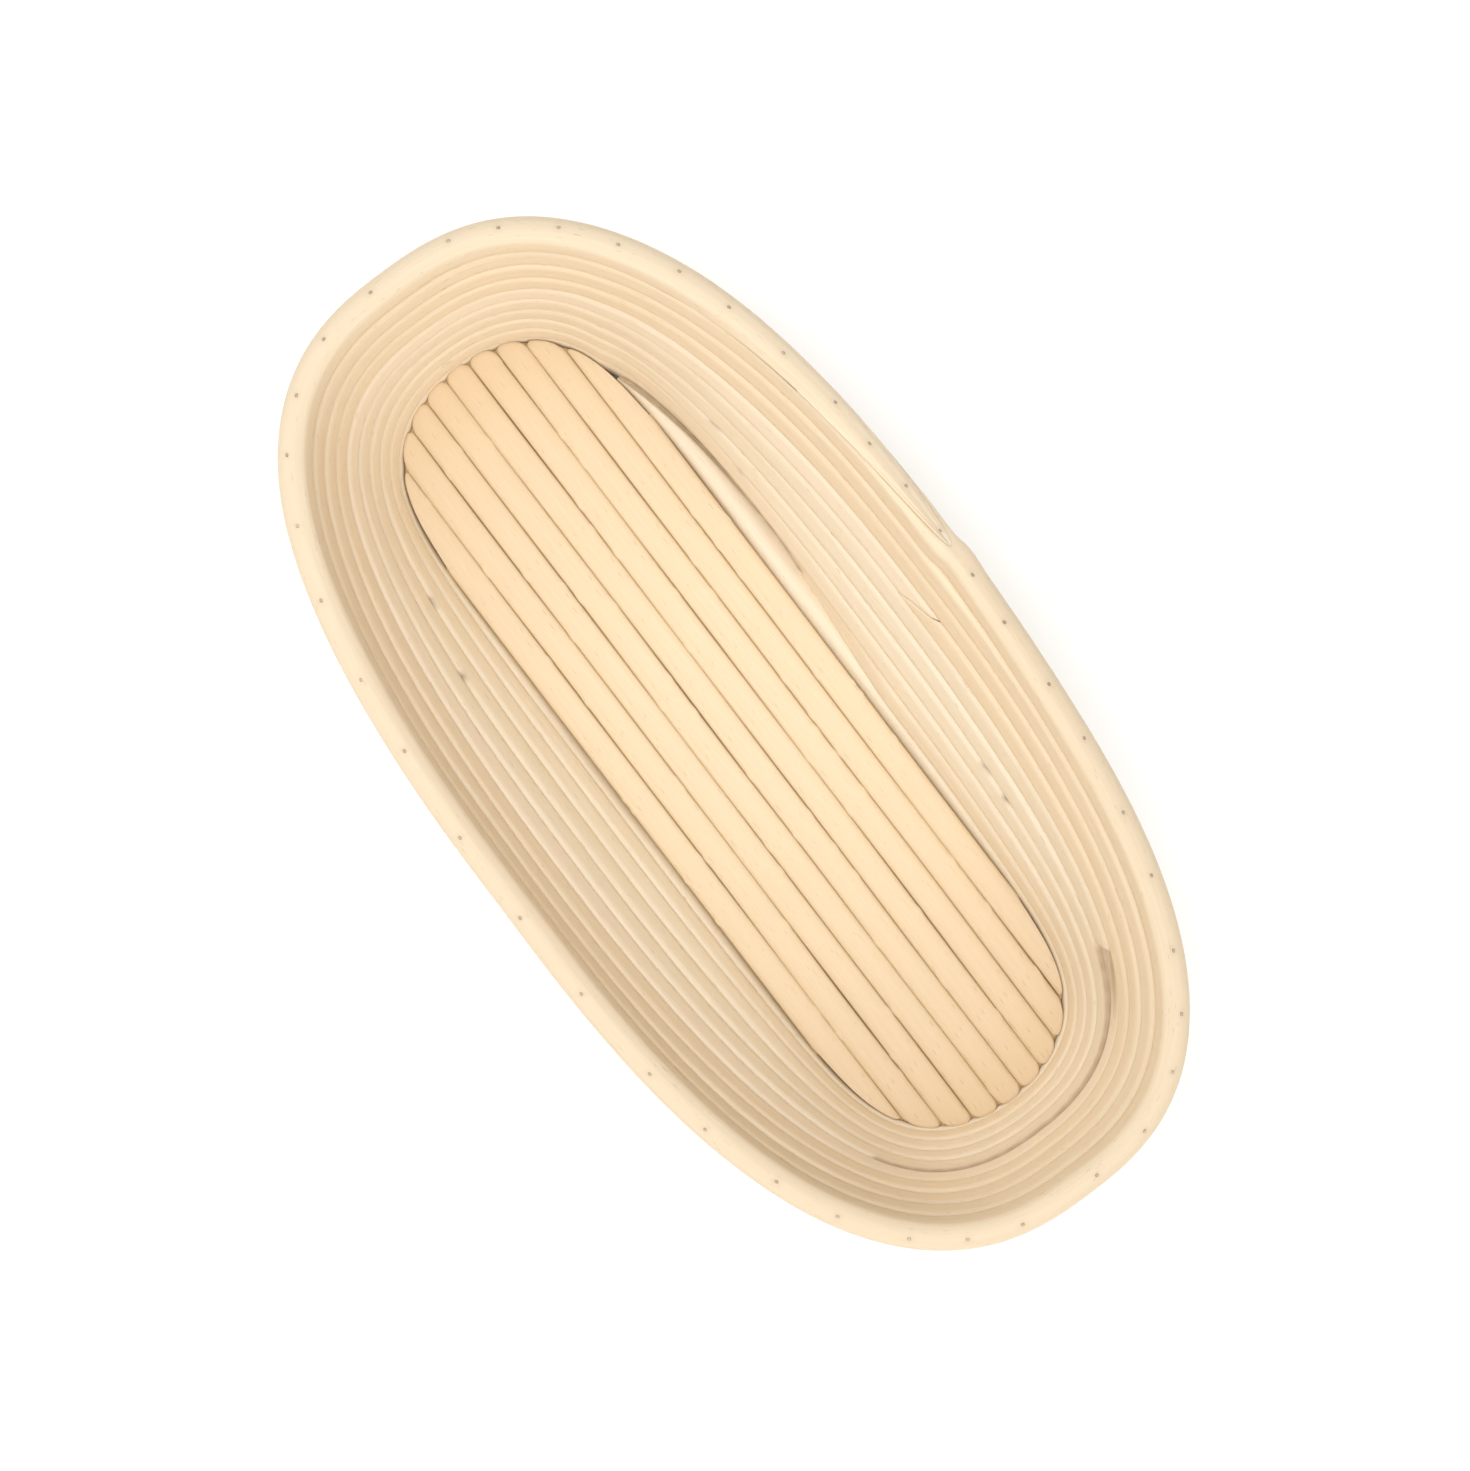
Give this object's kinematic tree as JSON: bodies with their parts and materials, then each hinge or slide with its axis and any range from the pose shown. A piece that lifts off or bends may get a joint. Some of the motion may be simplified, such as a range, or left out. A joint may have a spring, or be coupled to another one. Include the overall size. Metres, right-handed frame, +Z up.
{
  "type": "proofing basket",
  "caption": "Oval bread proofing basket of coiled round rattan cane nailed course on course, with a flat base of straight canes and a flared wall that ends in a plain rim.",
  "frame": {"origin": "middle of the base, on the surface that the basket stands on", "axes": "+X along the basket's length, +Y across it towards the side where the winding starts and ends, +Z up out of the opening"},
  "size_m": [0.2974, 0.1513, 0.0782],
  "materials": {
    "base_cane": "peeled round rattan, sanded, unlacquered, warm cream",
    "wall_cane": "peeled round rattan, unlacquered, cream to tan",
    "pale_cane": "peeled round rattan, unlacquered, paler than its neighbours",
    "rim_cane": "peeled round rattan, unlacquered, pale cream with fine grain",
    "brad_steel": "bare steel, dull"
  },
  "bodies": {
    "root": {"base_cane_1": "base_cane", "base_cane_2": "base_cane", "base_cane_3": "base_cane", "base_cane_4": "base_cane", "base_cane_5": "base_cane", "base_cane_6": "base_cane", "base_cane_7": "base_cane", "base_cane_8": "base_cane", "base_cane_9": "base_cane", "lower_wall_cane": "wall_cane", "middle_wall_cane": "pale_cane", "upper_wall_cane": "rim_cane", "wall_nails_1": "brad_steel", "wall_nails_2": "brad_steel", "wall_nails_3": "brad_steel", "wall_nails_4": "brad_steel", "wall_nails_5": "brad_steel", "wall_nails_6": "brad_steel", "wall_nails_7": "brad_steel", "wall_nails_8": "brad_steel", "rim_nails": "brad_steel", "foot_nails": "brad_steel", "base_nails": "brad_steel"}
  },
  "joints": []
}
